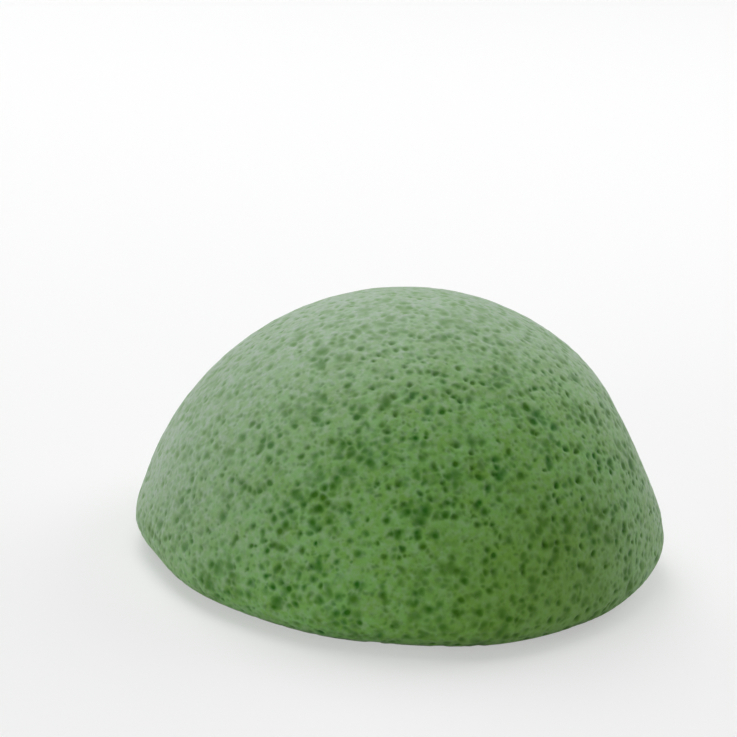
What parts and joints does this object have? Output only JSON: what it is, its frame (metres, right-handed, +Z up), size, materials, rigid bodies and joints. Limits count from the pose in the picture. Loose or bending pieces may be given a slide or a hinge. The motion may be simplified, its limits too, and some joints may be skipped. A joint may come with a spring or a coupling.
{
  "type": "konjac sponge",
  "caption": "Half-ball konjac facial cleansing sponge of green open-cell foam, with a rounded rim, scattered open cells and a flat side that it rests on.",
  "frame": {"origin": "middle of the flat side that the sponge rests on", "axes": "+Z up the dome's axis; the picture looks along +Y, with +X to its right"},
  "size_m": [0.08, 0.08, 0.041],
  "materials": {
    "sponge_skin": "matte",
    "sponge_foam": "matte"
  },
  "bodies": {
    "root": {"dome_skin": "sponge_skin", "foam_core": "sponge_foam", "flat_face": "sponge_skin"}
  },
  "joints": []
}
